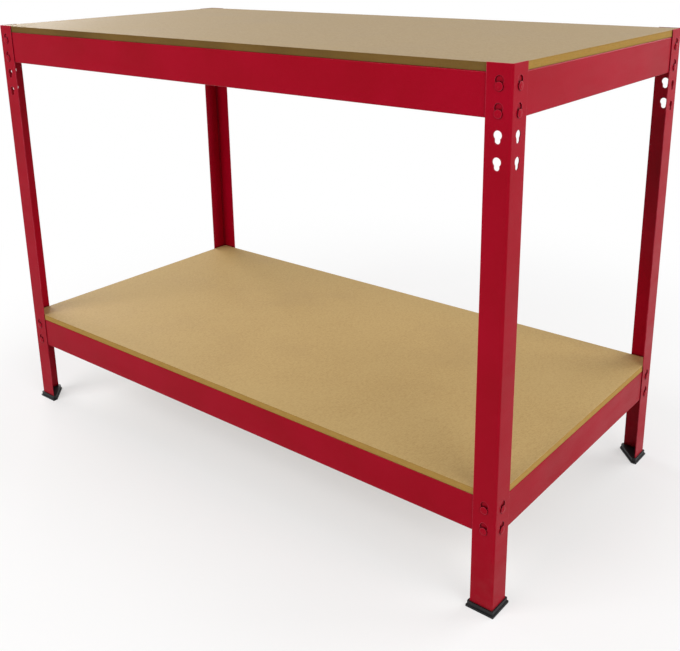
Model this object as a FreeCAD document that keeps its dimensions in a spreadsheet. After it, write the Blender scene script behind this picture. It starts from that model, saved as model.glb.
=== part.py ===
import FreeCAD
import Part
import Sketcher
import math
import os

# A boltless two-tier workbench: four angle posts, eight folded beams hooked into the posts'
# keyholes by headed rivets, two loose boards and four plastic feet.
# +X runs along the bench to its right end, +Y from front to back and +Z up.
# The origin is on the floor, below the middle of the bench.

doc = FreeCAD.newDocument("Workbench")
sheet = doc.addObject("Spreadsheet::Sheet", "dims")

# Driving dimensions in millimetres: alias, value, what it measures
driving_dimensions = [
    ("bench_length", 1200, "over the outer faces of the posts"),
    ("bench_depth", 600, "over the outer faces of the posts"),
    ("bench_height", 850, "floor to the top of the posts"),
    ("shelf_beam_height", 200, "floor to the top edge of the shelf beams"),
    ("post_leg", 40, "width of each leg of the angle"),
    ("post_sheet", 1.5, "thickness of the post's steel"),
    ("post_bend_inside", 1.5, "inside radius of the post's fold"),
    ("post_rise", 0.5, "post tops above the worktop"),
    ("beam_face", 62, "height of a beam's outer face"),
    ("beam_sheet", 1.2, "thickness of the beam's steel"),
    ("beam_bend_inside", 1.0, "inside radius of the beam's folds"),
    ("beam_ledge", 28, "depth of the ledge that carries the board"),
    ("beam_return", 12, "depth of the fold along the lower edge"),
    ("beam_end_clearance", 1.0, "beam end to the post's fold or to the crossing beam"),
    ("ledge_corner_gap", 8.5, "end of a ledge to the crossing beam's ledge"),
    ("tab_relief", 1.5, "slot between the end of a fold and the flat tab"),
    ("board_thickness", 12, "both boards"),
    ("board_clearance", 0.5, "board edge to the inner face of a post"),
    ("board_corner_margin", 2.5, "how far a board's cut corner exceeds the post's fold"),
    ("board_arris", 0.5, "broken edge round a board's upper face"),
    ("keyhole_round", 13, "diameter of the entry hole"),
    ("keyhole_neck", 8.6, "width of the neck below it"),
    ("keyhole_drop", 7.8, "centre of the entry hole to the centre of the neck's end"),
    ("keyhole_pitch", 36.5, "from row to row"),
    ("keyhole_seat_gap", 0.1, "rivet to the end of the neck"),
    ("rivet_rows", 2, "rivets at each end of a beam"),
    ("spare_rows", 2, "free keyholes below the worktop beams"),
    ("rivet_drop", 18, "top edge of a beam to its upper rivets"),
    ("rivet_head", 12, "diameter"),
    ("rivet_head_rim", 1.2, "height of the head's straight rim"),
    ("rivet_head_crown", 0.8, "height of the head's dome above the rim"),
    ("rivet_head_clearance", 0.3, "underside of the head to the post"),
    ("rivet_shank", 8, "diameter where it passes through the keyhole"),
    ("rivet_tenon", 6, "diameter where it passes through the beam"),
    ("rivet_hole_clearance", 0.1, "round the tenon"),
    ("rivet_tail", 9, "diameter of the closed end"),
    ("rivet_tail_height", 0.8, "height of the closed end"),
    ("foot_base", 3, "thickness of the plate that the post stands on"),
    ("foot_collar", 7, "height of the collar above the plate"),
    ("foot_wall", 2.2, "collar outside the faces of the post"),
    ("foot_end_wall", 4, "collar past the ends of the post's legs"),
    ("foot_end_land", 5, "width of the collar's blunt ends, from the post's face"),
    ("foot_lip", 1.8, "plate past the collar"),
    ("foot_clearance", 0.2, "post to the sides of its slot"),
    ("foot_round", 1.2, "radius of the foot's upright corners"),
]
for row, (alias, size, meaning) in enumerate(driving_dimensions, start=1):
    sheet.set(f"A{row}", meaning)
    sheet.set(f"B{row}", str(size))
    sheet.setAlias(f"B{row}", alias)
doc.recompute()

# Places that several pieces share, as expressions over the sheet
worktop_beam_height = "(dims.bench_height - dims.post_rise - dims.board_thickness)"
shelf_beam_height = "dims.shelf_beam_height"
post_bend_outside = "(dims.post_bend_inside + dims.post_sheet)"
beam_bend_outside = "(dims.beam_bend_inside + dims.beam_sheet)"
beam_end_inset = (
    "(dims.post_sheet + max(dims.post_bend_inside; dims.beam_sheet) + dims.beam_end_clearance)"
)
rivet_inset = "(dims.post_leg / 2)"
neck_above_rivet = "((dims.keyhole_neck - dims.rivet_shank) / 2 - dims.keyhole_seat_gap)"
board_inset = "(dims.post_sheet + dims.board_clearance)"


def value(expression):
    """The number that an expression over the sheet gives."""
    return float(sheet.evalExpression(expression))


# Sketches and features

def origin_feature(body, role):
    return [feature for feature in body.Origin.OriginFeatures if feature.Role == role][0]


def new_body(label):
    body = doc.addObject("PartDesign::Body", label)
    body.Label = label
    return body


def new_sketch(body, name, plane):
    sketch = body.newObject("Sketcher::SketchObject", name)
    sketch.AttachmentSupport = [(origin_feature(body, plane), "")]
    sketch.MapMode = "FlatFace"
    return sketch


def bind(sketch, constraint, expression):
    """Adds a dimension and ties it to an expression."""
    index = sketch.addConstraint(constraint)
    name = f"size{index}"
    sketch.renameConstraint(index, name)
    sketch.setExpression(f"Constraints.{name}", expression)


def locate(sketch, element, point, x, y):
    """Ties a point of a sketch to its distances from the sketch's origin."""
    for kind, axis, expression in (("DistanceX", -2, x), ("DistanceY", -1, y)):
        distance = value(expression)
        if abs(distance) < 1e-9:
            sketch.addConstraint(Sketcher.Constraint("PointOnObject", element, point, axis))
        elif distance > 0:
            bind(sketch, Sketcher.Constraint(kind, -1, 1, element, point, distance), expression)
        else:
            reversed_constraint = Sketcher.Constraint(kind, element, point, -1, 1, -distance)
            bind(sketch, reversed_constraint, f"-({expression})")


def polygon(sketch, corners):
    """A closed outline of straight lines through corners given as pairs of expressions."""
    points = [FreeCAD.Vector(value(x), value(y), 0) for x, y in corners]
    lines = []
    for start, end in zip(points, points[1:] + points[:1]):
        lines.append(sketch.addGeometry(Part.LineSegment(start, end), False))
    for line, following in zip(lines, lines[1:] + lines[:1]):
        sketch.addConstraint(Sketcher.Constraint("Coincident", line, 2, following, 1))
    for line, (x, y) in zip(lines, corners):
        locate(sketch, line, 1, x, y)


def rectangle(sketch, low_x, low_y, high_x, high_y):
    polygon(sketch, [(low_x, low_y), (high_x, low_y), (high_x, high_y), (low_x, high_y)])


def pad(body, sketch, name, length, symmetric=False):
    feature = body.newObject("PartDesign::Pad", name)
    feature.Profile = sketch
    feature.SideType = "Symmetric" if symmetric else "One side"
    feature.setExpression("Length", length)
    return feature


def cut_through(body, sketch, name):
    """Cuts right through the body, to both sides of the sketch."""
    feature = body.newObject("PartDesign::Pocket", name)
    feature.Profile = sketch
    feature.SideType = "Symmetric"
    feature.Type = "ThroughAll"
    return feature


def repeat_down(body, feature, name, pitch, count):
    """Repeats a feature in a row downwards."""
    pattern = body.newObject("PartDesign::LinearPattern", name)
    pattern.Originals = [feature]
    pattern.Direction = (origin_feature(body, "Z_Axis"), [""])
    pattern.Reversed = True
    pattern.setExpression("Occurrences", count)
    pattern.setExpression("Length", f"{pitch} * ({count} - 1)")
    body.Tip = pattern
    return pattern


def edge_names(shape, is_wanted):
    """Names of the edges whose every corner is_wanted accepts."""
    names = []
    for number, edge in enumerate(shape.Edges, start=1):
        if all(is_wanted(vertex.Point) for vertex in edge.Vertexes):
            names.append(f"Edge{number}")
    return names


def upright_at(x, y):
    """Accepts the points above and below one place of the plan."""
    return lambda point: math.hypot(point.x - x, point.y - y) < 1e-6


def lengthwise_at(y, z):
    """Accepts the points along X through one place of the section."""
    return lambda point: math.hypot(point.y - y, point.z - z) < 1e-6


def fillet(body, base, name, edges, radius):
    feature = body.newObject("PartDesign::Fillet", name)
    feature.Base = (base, edges)
    feature.setExpression("Radius", radius)
    doc.recompute()
    return feature


def chamfer(body, base, name, edges, size):
    feature = body.newObject("PartDesign::Chamfer", name)
    feature.Base = (base, edges)
    feature.setExpression("Size", size)
    doc.recompute()
    return feature


def place(body, x, y, z, turn):
    """Sets a piece at a place given as expressions, turned about its upright axis."""
    body.Placement = FreeCAD.Placement(
        FreeCAD.Vector(value(x), value(y), value(z)),
        FreeCAD.Rotation(FreeCAD.Vector(0, 0, 1), turn),
    )
    body.setExpression("Placement.Base.x", x)
    body.setExpression("Placement.Base.y", y)
    body.setExpression("Placement.Base.z", z)


# Posts

def keyhole(sketch, seat_height):
    """A round entry hole that narrows into a neck, whose end carries the rivet's shank."""
    across = value(rivet_inset)
    neck_end = value(seat_height)
    entry = value(f"{seat_height} + dims.keyhole_drop")
    round_radius = value("dims.keyhole_round / 2")
    neck_radius = value("dims.keyhole_neck / 2")
    shoulder = math.acos(neck_radius / round_radius)
    shoulder_height = entry - round_radius * math.sin(shoulder)
    up = FreeCAD.Vector(0, 0, 1)

    entry_circle = Part.Circle(FreeCAD.Vector(across, entry, 0), up, round_radius)
    neck_circle = Part.Circle(FreeCAD.Vector(across, neck_end, 0), up, neck_radius)
    entry_arc = sketch.addGeometry(Part.ArcOfCircle(entry_circle, -shoulder, math.pi + shoulder), False)
    neck_arc = sketch.addGeometry(Part.ArcOfCircle(neck_circle, math.pi, 2 * math.pi), False)
    sides = []
    for side in (-1, 1):
        top = FreeCAD.Vector(across + side * neck_radius, shoulder_height, 0)
        bottom = FreeCAD.Vector(across + side * neck_radius, neck_end, 0)
        sides.append(sketch.addGeometry(Part.LineSegment(top, bottom), False))
    left, right = sides

    sketch.addConstraint(Sketcher.Constraint("Coincident", left, 1, entry_arc, 2))
    sketch.addConstraint(Sketcher.Constraint("Coincident", right, 1, entry_arc, 1))
    sketch.addConstraint(Sketcher.Constraint("Tangent", left, 2, neck_arc, 1))
    sketch.addConstraint(Sketcher.Constraint("Tangent", right, 2, neck_arc, 2))
    sketch.addConstraint(Sketcher.Constraint("Vertical", left))
    sketch.addConstraint(Sketcher.Constraint("Vertical", right))
    locate(sketch, neck_arc, 3, rivet_inset, seat_height)
    locate(sketch, entry_arc, 3, rivet_inset, f"{seat_height} + dims.keyhole_drop")
    bind(sketch, Sketcher.Constraint("Radius", entry_arc, round_radius), "dims.keyhole_round / 2")
    bind(sketch, Sketcher.Constraint("Radius", neck_arc, neck_radius), "dims.keyhole_neck / 2")


def make_post(label):
    """An equal-leg angle standing on its foot, its outer corner at the origin."""
    body = new_body(label)
    section = new_sketch(body, "Section", "XY_Plane")
    polygon(section, [
        ("0", "0"),
        ("dims.post_leg", "0"),
        ("dims.post_leg", "dims.post_sheet"),
        ("dims.post_sheet", "dims.post_sheet"),
        ("dims.post_sheet", "dims.post_leg"),
        ("0", "dims.post_leg"),
    ])
    angle = pad(body, section, "Angle", "dims.bench_height - dims.foot_base")
    doc.recompute()
    outer_edge = edge_names(angle.Shape, upright_at(0, 0))
    outer_fold = fillet(body, angle, "OuterFold", outer_edge, post_bend_outside)
    inner_corner = value("dims.post_sheet")
    inner_edge = edge_names(outer_fold.Shape, upright_at(inner_corner, inner_corner))
    fillet(body, outer_fold, "InnerFold", inner_edge, "dims.post_bend_inside")

    tiers = [
        ("Worktop", worktop_beam_height, "dims.rivet_rows + dims.spare_rows"),
        ("Shelf", shelf_beam_height, "dims.rivet_rows"),
    ]
    for leg, plane in (("X", "XZ_Plane"), ("Y", "YZ_Plane")):
        for tier, beam_height, rows in tiers:
            seat = f"{beam_height} - dims.rivet_drop + {neck_above_rivet} - dims.foot_base"
            sketch = new_sketch(body, f"{tier}Keyhole{leg}", plane)
            keyhole(sketch, seat)
            cut = cut_through(body, sketch, f"{tier}KeyholeCut{leg}")
            repeat_down(body, cut, f"{tier}KeyholeRow{leg}", "dims.keyhole_pitch", f"({rows})")
    return body


# Beams

def tab_strips(sketch, start, end):
    """The strips above and below the flat face, as high as a fold, at both ends of a beam."""
    for low_x, high_x in ((f"-{end}", f"-{start}"), (start, end)):
        rectangle(sketch, low_x, f"-{beam_bend_outside}", high_x, "0")
        rectangle(sketch, low_x, "-dims.beam_face", high_x, f"{beam_bend_outside} - dims.beam_face")


def make_beam(label, span):
    """A folded beam along X, its top edge at height 0 and its outer face at y = 0.

    Both ends are flat tabs of the full height, without ledge or return, inside the posts' legs.
    """
    body = new_body(label)
    section = new_sketch(body, "Section", "YZ_Plane")
    polygon(section, [
        ("0", "0"),
        ("dims.beam_ledge", "0"),
        ("dims.beam_ledge", "-dims.beam_sheet"),
        ("dims.beam_sheet", "-dims.beam_sheet"),
        ("dims.beam_sheet", "dims.beam_sheet - dims.beam_face"),
        ("dims.beam_return", "dims.beam_sheet - dims.beam_face"),
        ("dims.beam_return", "-dims.beam_face"),
        ("0", "-dims.beam_face"),
    ])
    half_length = f"({span} / 2 - {beam_end_inset})"
    channel = pad(body, section, "Channel", f"2 * {half_length}", symmetric=True)
    doc.recompute()

    lower_edge = -value("dims.beam_face")
    inner_face = value("dims.beam_sheet")
    outer_edges = edge_names(channel.Shape, lengthwise_at(0, 0))
    outer_edges += edge_names(channel.Shape, lengthwise_at(0, lower_edge))
    outer_folds = fillet(body, channel, "OuterFolds", outer_edges, beam_bend_outside)
    inner_edges = edge_names(outer_folds.Shape, lengthwise_at(inner_face, -inner_face))
    inner_edges += edge_names(outer_folds.Shape, lengthwise_at(inner_face, lower_edge + inner_face))
    fillet(body, outer_folds, "InnerFolds", inner_edges, "dims.beam_bend_inside")

    ledge_end = f"({span} / 2 - dims.post_sheet - dims.beam_ledge - dims.ledge_corner_gap)"
    folds_off = new_sketch(body, "FoldEnds", "XZ_Plane")
    tab_strips(folds_off, ledge_end, half_length)
    cut_through(body, folds_off, "FoldsCutBack")
    tab_edges = new_sketch(body, "TabEdges", "XZ_Plane")
    tab_strips(tab_edges, f"({ledge_end} + dims.tab_relief)", half_length)
    tabs = pad(body, tab_edges, "Tabs", "dims.beam_sheet")
    tabs.Reversed = True

    holes = new_sketch(body, "RivetHole", "XZ_Plane")
    hole_radius = "dims.rivet_tenon / 2 + dims.rivet_hole_clearance"
    for side in ("-", ""):
        across = f"{side}({span} / 2 - {rivet_inset})"
        centre = FreeCAD.Vector(value(across), value("-dims.rivet_drop"), 0)
        circle = Part.Circle(centre, FreeCAD.Vector(0, 0, 1), value(hole_radius))
        hole = holes.addGeometry(circle, False)
        locate(holes, hole, 3, across, "-dims.rivet_drop")
        bind(holes, Sketcher.Constraint("Radius", hole, value(hole_radius)), hole_radius)
    upper_holes = cut_through(body, holes, "UpperRivetHoles")
    repeat_down(body, upper_holes, "RivetHoles", "dims.keyhole_pitch", "dims.rivet_rows")
    return body


# Rivets

def make_rivets(label, span):
    """The rivets of one beam, as separate solids in the beam's own frame.

    Each has a closed tail inside the beam, a tenon through it, a shank through the keyhole
    and a low domed head outside the post.
    """
    body = new_body(label)
    profile = new_sketch(body, "RivetProfile", "XY_Plane")
    first_x = f"-({span} / 2 - {rivet_inset})"
    profile.AttachmentOffset = FreeCAD.Placement(
        FreeCAD.Vector(value(first_x), 0, value("-dims.rivet_drop")), FreeCAD.Rotation()
    )
    profile.setExpression("AttachmentOffset.Base.x", first_x)
    profile.setExpression("AttachmentOffset.Base.z", "-dims.rivet_drop")

    tail_end = "dims.beam_sheet + dims.rivet_tail_height"
    underside = "-(dims.post_sheet + dims.rivet_head_clearance)"
    rim = f"({underside} - dims.rivet_head_rim)"
    crown = f"({rim} - dims.rivet_head_crown)"
    corners = [
        ("0", crown),
        ("0", tail_end),
        ("dims.rivet_tail / 2", tail_end),
        ("dims.rivet_tail / 2", "dims.beam_sheet"),
        ("dims.rivet_tenon / 2", "dims.beam_sheet"),
        ("dims.rivet_tenon / 2", "0"),
        ("dims.rivet_shank / 2", "0"),
        ("dims.rivet_shank / 2", underside),
        ("dims.rivet_head / 2", underside),
        ("dims.rivet_head / 2", rim),
    ]
    points = [FreeCAD.Vector(value(x), value(y), 0) for x, y in corners]
    lines = []
    for start, end in zip(points, points[1:]):
        lines.append(profile.addGeometry(Part.LineSegment(start, end), False))
    for line, following in zip(lines, lines[1:]):
        profile.addConstraint(Sketcher.Constraint("Coincident", line, 2, following, 1))
    for line, (x, y) in zip(lines, corners):
        locate(profile, line, 1, x, y)
    locate(profile, lines[-1], 2, *corners[-1])

    head_radius = value("dims.rivet_head / 2")
    crown_height = value("dims.rivet_head_crown")
    dome_radius = (head_radius ** 2 + crown_height ** 2) / (2 * crown_height)
    dome_centre = FreeCAD.Vector(0, value(crown) + dome_radius, 0)
    dome_circle = Part.Circle(dome_centre, FreeCAD.Vector(0, 0, 1), dome_radius)
    rim_angle = -math.acos(head_radius / dome_radius)
    dome = profile.addGeometry(Part.ArcOfCircle(dome_circle, -math.pi / 2, rim_angle), False)
    profile.addConstraint(Sketcher.Constraint("Coincident", dome, 1, lines[0], 1))
    profile.addConstraint(Sketcher.Constraint("Coincident", dome, 2, lines[-1], 2))
    profile.addConstraint(Sketcher.Constraint("PointOnObject", dome, 3, -2))

    rivet = body.newObject("PartDesign::Revolution", "Rivet")
    rivet.Profile = profile
    rivet.ReferenceAxis = (profile, ["V_Axis"])
    rivet.Angle = 360
    doc.recompute()

    grid = body.newObject("PartDesign::LinearPattern", "Rivets")
    grid.Originals = [rivet]
    grid.Direction = (origin_feature(body, "X_Axis"), [""])
    end_count = 2
    grid.Occurrences = end_count
    grid.setExpression("Length", f"{span} - 2 * {rivet_inset}")
    grid.Direction2 = (origin_feature(body, "Z_Axis"), [""])
    grid.Reversed2 = True
    grid.setExpression("Occurrences2", "dims.rivet_rows")
    grid.setExpression("Length2", "dims.keyhole_pitch * (dims.rivet_rows - 1)")
    body.Tip = grid
    return body


# Boards

def make_board(label):
    """A loose board between the posts, its lower face at height 0 and its middle at the origin."""
    body = new_body(label)
    outline = new_sketch(body, "Outline", "XY_Plane")
    half_length = f"(dims.bench_length / 2 - {board_inset})"
    half_depth = f"(dims.bench_depth / 2 - {board_inset})"
    rectangle(outline, f"-{half_length}", f"-{half_depth}", half_length, half_depth)
    panel = pad(body, outline, "Panel", "dims.board_thickness")
    doc.recompute()

    corner_x = value(half_length)
    corner_y = value(half_depth)
    upper_face = value("dims.board_thickness")
    corner_edges = []
    for x in (-corner_x, corner_x):
        for y in (-corner_y, corner_y):
            corner_edges += edge_names(panel.Shape, upright_at(x, y))
    corner_cut = "dims.post_bend_inside + dims.board_corner_margin"
    cut_panel = chamfer(body, panel, "CutCorners", corner_edges, corner_cut)
    upper_edges = edge_names(cut_panel.Shape, lambda point: abs(point.z - upper_face) < 1e-6)
    chamfer(body, cut_panel, "Arris", upper_edges, "dims.board_arris")
    return body


# Feet

def foot_outline(sketch, past_collar):
    """A triangle with blunt ends round the post's angle, grown by past_collar on every side."""
    near = f"-(dims.foot_wall + {past_collar})"
    far = f"(dims.post_leg + dims.foot_end_wall + {past_collar})"
    land = f"(dims.foot_end_land + {past_collar} * (sqrt(2) - 1))"
    polygon(sketch, [(near, near), (far, near), (far, land), (land, far), (near, far)])


def make_foot(label):
    """A moulded foot round the end of a post, the post's outer corner at its origin."""
    body = new_body(label)
    plate_outline = new_sketch(body, "PlateOutline", "XY_Plane")
    foot_outline(plate_outline, "dims.foot_lip")
    pad(body, plate_outline, "Plate", "dims.foot_base")
    collar_outline = new_sketch(body, "CollarOutline", "XY_Plane")
    foot_outline(collar_outline, "0")
    collar = pad(body, collar_outline, "Collar", "dims.foot_base + dims.foot_collar")
    doc.recompute()

    upright_edges = []
    for number, edge in enumerate(collar.Shape.Edges, start=1):
        ends = [vertex.Point for vertex in edge.Vertexes]
        if math.hypot(ends[0].x - ends[-1].x, ends[0].y - ends[-1].y) < 1e-6:
            upright_edges.append(f"Edge{number}")
    fillet(body, collar, "RoundedCorners", upright_edges, "dims.foot_round")

    slot_outline = new_sketch(body, "SlotOutline", "XY_Plane")
    slot_outline.AttachmentOffset = FreeCAD.Placement(
        FreeCAD.Vector(0, 0, value("dims.foot_base")), FreeCAD.Rotation()
    )
    slot_outline.setExpression("AttachmentOffset.Base.z", "dims.foot_base")
    near = "-dims.foot_clearance"
    inside = "dims.post_sheet + dims.foot_clearance"
    past_fold = f"{inside} + dims.post_bend_inside"
    far = "dims.post_leg + dims.foot_clearance"
    polygon(slot_outline, [
        (near, near),
        (far, near),
        (far, inside),
        (past_fold, inside),
        (inside, past_fold),
        (inside, far),
        (near, far),
    ])
    slot = body.newObject("PartDesign::Pocket", "PostSlot")
    slot.Profile = slot_outline
    slot.SideType = "One side"
    slot.Reversed = True
    slot.setExpression("Length", "dims.foot_collar")
    return body


# The pieces in their places

half_length = "dims.bench_length / 2"
half_depth = "dims.bench_depth / 2"
corners = [
    ("front_left", f"-{half_length}", f"-{half_depth}", 0),
    ("front_right", half_length, f"-{half_depth}", 90),
    ("back_right", half_length, half_depth, 180),
    ("back_left", f"-{half_length}", half_depth, 270),
]
beam_out = "dims.post_sheet"
sides = [
    ("front", "dims.bench_length", "0", f"-({half_depth} - {beam_out})", 0),
    ("right", "dims.bench_depth", f"{half_length} - {beam_out}", "0", 90),
    ("back", "dims.bench_length", "0", f"{half_depth} - {beam_out}", 180),
    ("left", "dims.bench_depth", f"-({half_length} - {beam_out})", "0", 270),
]
tiers = [("worktop", worktop_beam_height), ("shelf", shelf_beam_height)]

nodes = []
for corner, x, y, turn in corners:
    post = make_post(f"post_{corner}")
    place(post, x, y, "dims.foot_base", turn)
    foot = make_foot(f"foot_{corner}")
    place(foot, x, y, "0", turn)
    nodes += [post, foot]

for tier, height in tiers:
    for side, span, x, y, turn in sides:
        beam = make_beam(f"{tier}_beam_{side}", span)
        place(beam, x, y, height, turn)
        rivets = make_rivets(f"{tier}_rivets_{side}", span)
        place(rivets, x, y, height, turn)
        nodes += [beam, rivets]
    board = make_board(f"{tier}_board")
    place(board, "0", "0", height, 0)
    nodes.append(board)

doc.recompute()

# Every object is sound, and every cut has removed material, before anything is written
for item in doc.Objects:
    if "Invalid" in item.State or "Error" in item.State:
        raise RuntimeError(f"{item.Label} failed: {item.State}")
    if item.isDerivedFrom("PartDesign::Pocket"):
        if item.Shape.Volume > item.BaseFeature.Shape.Volume - 1:
            raise RuntimeError(f"{item.Label} cuts nothing")
for node in nodes:
    if node.Shape.isNull() or not node.Shape.isValid():
        raise RuntimeError(f"{node.Label} has no valid shape")

os.makedirs("parts", exist_ok=True)
for node in nodes:
    node.Shape.exportStep(f"parts/{node.Label}.step")
    box = node.Shape.BoundBox
    print(
        f"{node.Label}: {len(node.Shape.Solids)} solids, {node.Shape.Volume:.0f} mm3, "
        f"x {box.XMin:.1f} to {box.XMax:.1f}, y {box.YMin:.1f} to {box.YMax:.1f}, "
        f"z {box.ZMin:.1f} to {box.ZMax:.1f}"
    )
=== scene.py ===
import bpy
import math
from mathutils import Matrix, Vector

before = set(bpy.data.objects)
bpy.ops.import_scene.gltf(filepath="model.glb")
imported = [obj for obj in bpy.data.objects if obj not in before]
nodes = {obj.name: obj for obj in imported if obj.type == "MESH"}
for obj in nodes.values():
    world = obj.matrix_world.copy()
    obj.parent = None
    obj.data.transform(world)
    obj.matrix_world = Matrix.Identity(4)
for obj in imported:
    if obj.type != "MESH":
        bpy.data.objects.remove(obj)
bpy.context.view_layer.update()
scene = bpy.context.scene
bpy.ops.object.select_all(action='DESELECT')
print("frame loaded:", len(nodes), "nodes")


# shader node helpers; a pair named as a range is what spread maps to its two ends

def newMaterial(name):
    material = bpy.data.materials.new(name)
    material.use_nodes = True
    tree = material.node_tree
    return material, tree, tree.nodes["Principled BSDF"]


def addNode(tree, kind, inputs=None, **settings):
    node = tree.nodes.new(kind)
    for key, setting in settings.items():
        setattr(node, key, setting)
    for socket, setting in (inputs or {}).items():
        node.inputs[socket].default_value = setting
    return node


def objectCoords(tree):
    return addNode(tree, "ShaderNodeTexCoord").outputs["Object"]


def noise(tree, coords, scale, detail, roughness=0.5, stretch=None):
    if stretch:
        mapping = addNode(tree, "ShaderNodeMapping", {"Scale": stretch})
        tree.links.new(coords, mapping.inputs["Vector"])
        coords = mapping.outputs["Vector"]
    inputs = {"Scale": scale, "Detail": detail, "Roughness": roughness}
    node = addNode(tree, "ShaderNodeTexNoise", inputs)
    tree.links.new(coords, node.inputs["Vector"])
    return node.outputs["Fac"]


def spread(tree, source, low, high, toLow=0.0, toHigh=1.0):
    inputs = {"From Min": low, "From Max": high, "To Min": toLow, "To Max": toHigh}
    node = addNode(tree, "ShaderNodeMapRange", inputs)
    tree.links.new(source, node.inputs["Value"])
    return node.outputs["Result"]


def maths(tree, operation, first, second=0.0):
    node = addNode(tree, "ShaderNodeMath", operation=operation)
    for index, source in enumerate((first, second)):
        if isinstance(source, (int, float)):
            node.inputs[index].default_value = source
        else:
            tree.links.new(source, node.inputs[index])
    return node.outputs["Value"]


mixSockets = {"amount": 0, "first": 6, "second": 7, "result": 2}      # a mix node's places for colours


def mixColour(tree, amount, first, second):
    node = addNode(tree, "ShaderNodeMix", data_type="RGBA")
    tree.links.new(amount, node.inputs[mixSockets["amount"]])
    for place, colour in (("first", first), ("second", second)):
        socket = node.inputs[mixSockets[place]]
        if hasattr(colour, "is_output"):
            tree.links.new(colour, socket)
        else:
            socket.default_value = (*colour, 1.0)
    return node.outputs[mixSockets["result"]]


def separate(tree, vector):
    node = addNode(tree, "ShaderNodeSeparateXYZ")
    tree.links.new(vector, node.inputs[0])
    return node.outputs


edgeMaskSettings = {
    "samples": 6,
    "range": (0.99, 0.86),                      # cosine of the turn from the flat to the rounded edge
}


def edgeMask(tree, radius):                     # 1 along sharp edges, 0 on the flats
    rounded = addNode(tree, "ShaderNodeBevel", {"Radius": radius}, samples=edgeMaskSettings["samples"])
    flat = addNode(tree, "ShaderNodeNewGeometry")
    dot = addNode(tree, "ShaderNodeVectorMath", operation="DOT_PRODUCT")
    tree.links.new(rounded.outputs["Normal"], dot.inputs[0])
    tree.links.new(flat.outputs["Normal"], dot.inputs[1])
    return spread(tree, dot.outputs["Value"], *edgeMaskSettings["range"])


def bump(tree, height, strength, distance, under=None):
    node = addNode(tree, "ShaderNodeBump", {"Strength": strength, "Distance": distance})
    tree.links.new(height, node.inputs["Height"])
    if under:
        tree.links.new(under, node.inputs["Normal"])
    return node.outputs["Normal"]


# red powder coat on the posts, beams and rivets

redCoat = {
    "deep": (0.310, 0.0004, 0.0085),
    "bright": (0.365, 0.0006, 0.0140),
    "clouds": {"scale": 7.0, "detail": 4.0, "roughness": 0.55},
    "cloudRange": (0.32, 0.68),
    "speck": (0.44, 0.004, 0.030),
    "grain": {"scale": 950.0, "detail": 2.0},
    "grainRange": (0.45, 0.8),
    "grainShare": 0.3,
    # paler edge colour: partly wear, partly a painted highlight along the sharp edges
    "wearAndHighlight": (0.66, 0.090, 0.140),
    "edgeRadius": 0.0013,
    "edgePatches": {"scale": 38.0, "detail": 4.0, "roughness": 0.6},
    "edgePatchRange": (0.36, 0.62),
    "wearAndHighlightShare": (0.25, 0.85),                  # least and most of the worn colour on an edge
    # painted shade, laid into the corners by ambient occlusion
    "paintedCreviceShade": (0.060, 0.0003, 0.0020),
    "paintedShadeReach": 0.006,
    "paintedShadeSamples": 8,
    "paintedShadeRange": (0.94, 0.5),
    "paintedShadeShare": 0.85,
    "dusty": (0.33, 0.045, 0.050),
    "dustHeight": 0.16,
    "dustShare": 0.3,
    "dustPatches": {"scale": 45.0, "detail": 5.0, "roughness": 0.65},
    "dustRange": (0.4, 0.7),
    "dustRough": 0.4,
    "marks": {"scale": 9.0, "detail": 5.0, "roughness": 0.6, "stretch": (1.0, 1.0, 4.0)},
    "markRange": (0.3, 0.7),
    "rough": (0.28, 0.44),
    "waves": {"scale": 14.0, "detail": 2.0},
    "waveBump": (0.25, 0.0006),                 # strength and depth
    "peel": {"scale": 520.0, "detail": 2.0, "roughness": 0.4},
    "peelBump": (0.5, 0.0003),
    "specular": 0.04,
    "gloss": 0.05,
    "glossRough": 0.12,
}


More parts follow.
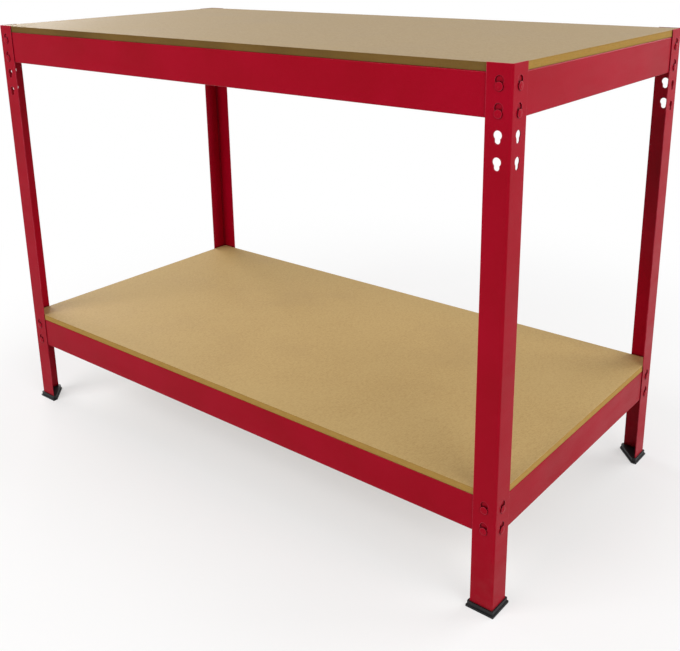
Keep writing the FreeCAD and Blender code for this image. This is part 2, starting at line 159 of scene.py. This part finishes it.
def makeRedCoat(look):
    material, tree, shader = newMaterial("red_powder_coat_finish")
    coords = objectCoords(tree)

    clouds = noise(tree, coords, **look["clouds"])
    colour = mixColour(tree, spread(tree, clouds, *look["cloudRange"]), look["deep"], look["bright"])
    grain = noise(tree, coords, **look["grain"])
    specks = spread(tree, grain, *look["grainRange"], toHigh=look["grainShare"])
    colour = mixColour(tree, specks, colour, look["speck"])

    # the edges are painted paler, more in some places than in others: partly wear where the coat is
    # thin and rubbed, partly a painted highlight
    edgePatches = noise(tree, coords, **look["edgePatches"])
    edgeMarkShare = spread(tree, edgePatches, *look["edgePatchRange"], *look["wearAndHighlightShare"])
    paleEdgeMask = maths(tree, "MULTIPLY", edgeMask(tree, look["edgeRadius"]), edgeMarkShare)
    colour = mixColour(tree, paleEdgeMask, colour, look["wearAndHighlight"])

    # painted shade: ambient occlusion darkens the colour round the rivet heads, in the keyholes and
    # inside the folds
    occlusionNode = addNode(tree, "ShaderNodeAmbientOcclusion", {"Distance": look["paintedShadeReach"]},
                     samples=look["paintedShadeSamples"])
    paintedCreviceShade = spread(tree, occlusionNode.outputs["AO"], *look["paintedShadeRange"], toHigh=look["paintedShadeShare"])
    colour = mixColour(tree, paintedCreviceShade, colour, look["paintedCreviceShade"])

    # a little workshop dust on the lowest part of the posts
    low = spread(tree, separate(tree, coords)["Z"], look["dustHeight"], 0.0, toHigh=look["dustShare"])
    patches = spread(tree, noise(tree, coords, **look["dustPatches"]), *look["dustRange"])
    dust = maths(tree, "MULTIPLY", low, patches)
    colour = mixColour(tree, dust, colour, look["dusty"])
    tree.links.new(colour, shader.inputs["Base Color"])

    # handling marks are long and faint, and only change the gloss
    marks = noise(tree, coords, **look["marks"])
    rough = spread(tree, marks, *look["markRange"], *look["rough"])
    rough = maths(tree, "ADD", rough, maths(tree, "MULTIPLY", dust, look["dustRough"]))
    tree.links.new(rough, shader.inputs["Roughness"])

    # the sheet's slow waves, with the coat's orange peel on top
    waves = bump(tree, noise(tree, coords, **look["waves"]), *look["waveBump"])
    peel = noise(tree, coords, **look["peel"])
    tree.links.new(bump(tree, peel, *look["peelBump"], waves), shader.inputs["Normal"])
    shader.inputs["Specular IOR Level"].default_value = look["specular"]
    shader.inputs["Coat Weight"].default_value = look["gloss"]
    shader.inputs["Coat Roughness"].default_value = look["glossRough"]
    return material


# raw fibreboard: pressed faces and sawn edges

# the worktop is the same fibreboard as the shelf; its darker, greyer colours are painted shade and
# painted grazing sheen
worktopShadedLook = {
    "middle": 0.8435,                           # height of the board's middle layer
    "face": (0.346, 0.245, 0.122),
    "fibreDark": (0.268, 0.180, 0.080),
    "fibreLight": (0.418, 0.312, 0.174),
    "edge": (0.360, 0.205, 0.034),
    "edgeSkin": (0.270, 0.150, 0.023),
    "edgeMarkShare": 0.80,                            # share of painted shade on the long edges
}
shelfLook = {
    "middle": 0.206,
    "face": (0.458, 0.307, 0.116),
    "fibreDark": (0.360, 0.231, 0.079),
    "fibreLight": (0.545, 0.392, 0.174),
    "edge": (0.440, 0.258, 0.058),
    "edgeSkin": (0.330, 0.183, 0.038),
    "edgeMarkShare": 0.06,
}
boardFinish = {
    "edgeRange": (0.8, 0.4),                    # how level a face is, from face to edge
    "sideRange": (0.4, 0.8),                    # how far an edge faces front or back
    "along": {"scale": 330.0, "detail": 4.0, "roughness": 0.6, "stretch": (0.4, 1.5, 1.0)},
    "across": {"scale": 360.0, "detail": 4.0, "roughness": 0.6, "stretch": (1.5, 0.45, 1.0)},
    "lightFibreRange": (0.44, 0.60),
    "darkFibreRange": (0.50, 0.38),
    "fibreShare": 0.45,
    "flecks": {"Scale": 150.0, "Randomness": 1.0},
    "fleckRange": (0.14, 0.05),
    "fleckShare": 0.35,
    "blotches": {"scale": 4.5, "detail": 5.0, "roughness": 0.6},
    "paleBlotchRange": (0.46, 0.68),
    "darkBlotchRange": (0.46, 0.28),
    "blotchShare": 0.30,
    "skinRange": (0.0030, 0.0056),              # from the board's middle to the dense skin
    "skinShare": 0.75,
    "layers": {"scale": 130.0, "detail": 5.0, "roughness": 0.65, "stretch": (0.5, 0.5, 5.0)},
    "layerRange": (0.40, 0.70),
    "layerShare": 0.7,
    "sawMarks": {"scale": 620.0, "detail": 3.0, "roughness": 0.6, "stretch": (1.0, 1.0, 0.15)},
    "sawRange": (0.50, 0.74),
    "sawShare": 0.14,
    # painted shade for the long edges that face front and back
    "longEdgeShade": (0.060, 0.028, 0.006),
    "longEdgeShadeShare": (0.75, 1.0),
    "patchRange": (0.3, 0.7),                   # blotches, as they vary the painted edge shade and the gloss
    "rough": (0.56, 0.68),
    "edgeRough": 0.3,
    "relief": (0.3, 0.0004),                    # strength and depth
    "specular": 0.28,
}


def makeFibreboard(name, look, finish):
    material, tree, shader = newMaterial(name)
    coords = objectCoords(tree)
    facing = separate(tree, addNode(tree, "ShaderNodeNewGeometry").outputs["True Normal"])
    onEdge = spread(tree, maths(tree, "ABSOLUTE", facing["Z"]), *finish["edgeRange"])

    # short fibres lie both ways on the pressed face, under slow blotches of glue and pressing heat
    along = noise(tree, coords, **finish["along"])
    across = noise(tree, coords, **finish["across"])
    fibres = maths(tree, "MULTIPLY", maths(tree, "ADD", along, across), 0.5)
    lightFibre = spread(tree, fibres, *finish["lightFibreRange"], toHigh=finish["fibreShare"])
    darkFibre = spread(tree, fibres, *finish["darkFibreRange"], toHigh=finish["fibreShare"])
    face = mixColour(tree, lightFibre, look["face"], look["fibreLight"])
    face = mixColour(tree, darkFibre, face, look["fibreDark"])
    flecks = addNode(tree, "ShaderNodeTexVoronoi", finish["flecks"])
    tree.links.new(coords, flecks.inputs["Vector"])
    fleck = spread(tree, flecks.outputs["Distance"], *finish["fleckRange"], toHigh=finish["fleckShare"])
    face = mixColour(tree, fleck, face, look["fibreDark"])
    blotches = noise(tree, coords, **finish["blotches"])
    paleBlotch = spread(tree, blotches, *finish["paleBlotchRange"], toHigh=finish["blotchShare"])
    darkBlotch = spread(tree, blotches, *finish["darkBlotchRange"], toHigh=finish["blotchShare"])
    face = mixColour(tree, paleBlotch, face, look["fibreLight"])
    face = mixColour(tree, darkBlotch, face, look["fibreDark"])

    # sawn edge: a loose core between two dense skins
    centred = addNode(tree, "ShaderNodeMapping", {"Location": (0.0, 0.0, -look["middle"])})
    tree.links.new(coords, centred.inputs["Vector"])
    fromMiddle = maths(tree, "ABSOLUTE", separate(tree, centred.outputs["Vector"])["Z"])
    skin = spread(tree, fromMiddle, *finish["skinRange"], toHigh=finish["skinShare"])
    layers = noise(tree, coords, **finish["layers"])
    dense = spread(tree, layers, *finish["layerRange"], toHigh=finish["layerShare"])
    edge = mixColour(tree, dense, look["edge"], look["edgeSkin"])
    edge = mixColour(tree, skin, edge, look["edgeSkin"])
    sawMarks = noise(tree, coords, **finish["sawMarks"])
    sawn = spread(tree, sawMarks, *finish["sawRange"], toHigh=finish["sawShare"])
    edge = mixColour(tree, sawn, edge, look["fibreLight"])

    # painted shade: the long edges, which face front and back, are darkened, above all the worktop's
    sideways = maths(tree, "ABSOLUTE", facing["Y"])
    onLongEdge = spread(tree, sideways, *finish["sideRange"], toHigh=look["edgeMarkShare"])
    patchy = spread(tree, blotches, *finish["patchRange"], *finish["longEdgeShadeShare"])
    edge = mixColour(tree, maths(tree, "MULTIPLY", onLongEdge, patchy), edge, finish["longEdgeShade"])
    tree.links.new(mixColour(tree, onEdge, face, edge), shader.inputs["Base Color"])

    rough = spread(tree, blotches, *finish["patchRange"], *finish["rough"])
    rough = maths(tree, "ADD", rough, maths(tree, "MULTIPLY", onEdge, finish["edgeRough"]))
    tree.links.new(rough, shader.inputs["Roughness"])
    relief = maths(tree, "ADD", fibres, maths(tree, "MULTIPLY", onEdge, layers))
    tree.links.new(bump(tree, relief, *finish["relief"]), shader.inputs["Normal"])
    shader.inputs["Specular IOR Level"].default_value = finish["specular"]
    return material


# moulded black feet

blackFoot = {
    "fresh": (0.0065, 0.0065, 0.0075),
    "scuffed": (0.030, 0.029, 0.031),
    "patches": {"scale": 55.0, "detail": 4.0, "roughness": 0.6},
    "scuffRange": (0.45, 0.75),
    "scuffShare": 0.5,
    "edgeRadius": 0.001,
    "rubbedRange": (0.35, 0.6),
    "rubbedShare": 0.8,
    "roughRange": (0.3, 0.7),
    "rough": (0.42, 0.6),
    "grain": {"scale": 1400.0, "detail": 2.0},
    "grainBump": (0.3, 0.00015),                # strength and depth
    "specular": 0.3,
}


def makeBlackPlastic(look):
    material, tree, shader = newMaterial("black_plastic_finish")
    coords = objectCoords(tree)
    patches = noise(tree, coords, **look["patches"])
    scuffs = spread(tree, patches, *look["scuffRange"], toHigh=look["scuffShare"])
    colour = mixColour(tree, scuffs, look["fresh"], look["scuffed"])
    edgeMarkShare = spread(tree, patches, *look["rubbedRange"], toHigh=look["rubbedShare"])
    paleEdgeMask = maths(tree, "MULTIPLY", edgeMask(tree, look["edgeRadius"]), edgeMarkShare)
    tree.links.new(mixColour(tree, paleEdgeMask, colour, look["scuffed"]), shader.inputs["Base Color"])
    rough = spread(tree, patches, *look["roughRange"], *look["rough"])
    tree.links.new(rough, shader.inputs["Roughness"])
    grain = noise(tree, coords, **look["grain"])
    tree.links.new(bump(tree, grain, *look["grainBump"]), shader.inputs["Normal"])
    shader.inputs["Specular IOR Level"].default_value = look["specular"]
    return material


redFinish = makeRedCoat(redCoat)
blackFinish = makeBlackPlastic(blackFoot)
boardFinishes = {
    "worktop_board": makeFibreboard("worktop_fibreboard", worktopShadedLook, boardFinish),
    "shelf_board": makeFibreboard("shelf_fibreboard", shelfLook, boardFinish),
}
for name, node in nodes.items():
    if name in boardFinishes:
        finish = boardFinishes[name]
    elif name.startswith("foot_"):
        finish = blackFinish
    else:
        finish = redFinish
    for index in range(len(node.data.materials)):
        node.data.materials[index] = finish
print("finishes set")


# pale studio floor

floorLook = {
    "size": 60.0,
    "cuts": 4,
    "paperSeen": 0.92,                          # as the camera sees it
    "paperBounce": 0.70,                        # as it throws light back onto the bench
    "paperRough": 0.9,
    "paperSpecular": 0.1,
    "white": 1.0,                               # strength of the backdrop's white
    "whiteNear": 0.50,                          # share of white below the bench, for a soft shadow
    "shadowReach": (0.6, 1.7),                  # the floor fades into the backdrop between these
}
bpy.ops.mesh.primitive_plane_add(size=floorLook["size"], location=(0, 0, 0))
floor = bpy.context.object
floor.name = "studio_floor"
bpy.ops.object.mode_set(mode='EDIT')
bpy.ops.mesh.subdivide(number_cuts=floorLook["cuts"])
bpy.ops.object.mode_set(mode='OBJECT')


def backdropRays(tree):                         # 1 for rays that show the backdrop, 0 for bounced light
    path = addNode(tree, "ShaderNodeLightPath")
    seen = maths(tree, "MAXIMUM", path.outputs["Is Camera Ray"], path.outputs["Is Glossy Ray"])
    return maths(tree, "MAXIMUM", seen, path.outputs["Is Transmission Ray"])


def makeFloor(look):
    material, tree, paper = newMaterial("studio_paper")
    seen = backdropRays(tree)
    coords = objectCoords(tree)
    shade = spread(tree, seen, 0.0, 1.0, look["paperBounce"], look["paperSeen"])
    tree.links.new(shade, paper.inputs["Base Color"])
    paper.inputs["Roughness"].default_value = look["paperRough"]
    paper.inputs["Specular IOR Level"].default_value = look["paperSpecular"]

    white = addNode(tree, "ShaderNodeEmission", {"Color": (1, 1, 1, 1), "Strength": look["white"]})
    distance = addNode(tree, "ShaderNodeVectorMath", operation="LENGTH")
    tree.links.new(coords, distance.inputs[0])
    fade = addNode(tree, "ShaderNodeMapRange", {"To Min": look["whiteNear"]},
                   interpolation_type="SMOOTHSTEP")
    for socket, reach in zip(("From Min", "From Max"), look["shadowReach"]):
        fade.inputs[socket].default_value = reach
    tree.links.new(distance.outputs["Value"], fade.inputs["Value"])
    backdrop = addNode(tree, "ShaderNodeMixShader")
    tree.links.new(maths(tree, "MULTIPLY", fade.outputs["Result"], seen), backdrop.inputs["Fac"])
    tree.links.new(paper.outputs["BSDF"], backdrop.inputs[1])
    tree.links.new(white.outputs["Emission"], backdrop.inputs[2])
    tree.links.new(backdrop.outputs["Shader"], tree.nodes["Material Output"].inputs["Surface"])
    return material


floor.data.materials.append(makeFloor(floorLook))
print("floor laid")


# soft studio light

worldLook = {"seen": 1.0, "light": 0.17}
world = bpy.data.worlds.new("studio")
scene.world = world
world.use_nodes = True
sky = world.node_tree
background = sky.nodes["Background"]
background.inputs["Color"].default_value = (1, 1, 1, 1)
skyStrength = spread(sky, backdropRays(sky), 0.0, 1.0, worldLook["light"], worldLook["seen"])
sky.links.new(skyStrength, background.inputs["Strength"])

lamps = {
    "key_front": {"at": (-0.9, -3.3, 2.8), "to": (0, 0, 0.3), "size": (3.0, 2.0), "watts": 102},
    "fill_right": {"at": (3.2, -0.8, 2.1), "to": (0.4, 0, 0.5), "size": (2.6, 2.0), "watts": 56},
    "fill_left": {"at": (-3.2, 0.5, 2.0), "to": (-0.4, 0, 0.5), "size": (2.2, 1.8), "watts": 60},
    "soft_back": {"at": (2.2, 3.0, 2.0), "to": (0, 0, 0.4), "size": (3.4, 2.2), "watts": 90},
}
for name, lamp in lamps.items():
    bpy.ops.object.light_add(type='AREA', location=lamp["at"])
    light = bpy.context.object
    light.name = name
    light.data.shape = 'RECTANGLE'
    light.data.size, light.data.size_y = lamp["size"]
    light.data.energy = lamp["watts"]
    aim = Vector(lamp["to"]) - Vector(lamp["at"])
    light.rotation_euler = aim.to_track_quat('-Z', 'Y').to_euler()
print("lamps placed:", len(lamps))


# camera at the photograph's angle

shot = {
    "at": (1.1768, -1.3532, 0.9982),
    "turn": (73.111, 0.856, 39.264),            # degrees
    "sensor": 36.0,
    "lens": 48.53,
    "shiftY": -0.15,
    "farthest": 200.0,
}
turn = [math.radians(angle) for angle in shot["turn"]]
bpy.ops.object.camera_add(location=shot["at"], rotation=turn)
camera = bpy.context.object
camera.name = "photo_camera"
camera.data.sensor_width = shot["sensor"]
camera.data.lens = shot["lens"]
camera.data.shift_y = shot["shiftY"]
camera.data.clip_end = shot["farthest"]
scene.camera = camera
scene.view_settings.view_transform = 'Standard'
print("camera set")
